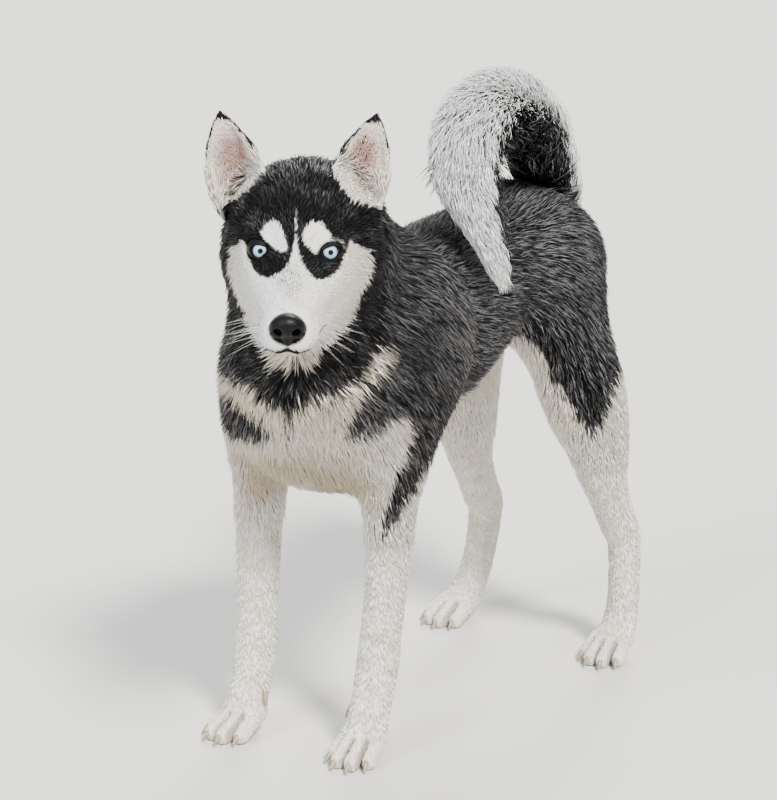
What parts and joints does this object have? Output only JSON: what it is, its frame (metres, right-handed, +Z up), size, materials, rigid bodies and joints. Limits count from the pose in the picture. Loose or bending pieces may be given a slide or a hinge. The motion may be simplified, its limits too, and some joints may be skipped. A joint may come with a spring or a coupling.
{
  "type": "siberian husky",
  "caption": "Life-size standing spitz-type sled dog with a black and white coat, pricked ears, blue eyes and a plumed tail curled over its back.",
  "frame": {"origin": "on the floor, in the middle of the rectangle that holds the whole dog", "axes": "the dog's trunk faces -Y, its left side is +X, +Z is up"},
  "size_m": [0.3174, 0.7608, 0.6981],
  "materials": {
    "coat_dark": "matte, soft hair",
    "coat_light": "matte, soft hair",
    "ear": "thin short hair over skin",
    "eye": "wet gloss",
    "nose": "moist pebbled leather",
    "claw": "worn horn"
  },
  "bodies": {
    "root": {"head": "coat_light", "neck": "coat_dark", "torso": "coat_dark", "hindquarters": "coat_dark", "ear_left": "ear", "ear_right": "ear", "eye_left": "eye", "eye_right": "eye", "nose": "nose", "foreleg_left": "coat_light", "foreleg_right": "coat_light", "hind_leg_left": "coat_light", "hind_leg_right": "coat_light", "forepaw_left": "coat_light", "forepaw_right": "coat_light", "hind_paw_left": "coat_light", "hind_paw_right": "coat_light", "tail_root": "coat_light", "tail_rise": "coat_light", "tail_top": "coat_light", "tail_fall": "coat_light", "tail_tip": "coat_light"}
  },
  "joints": []
}
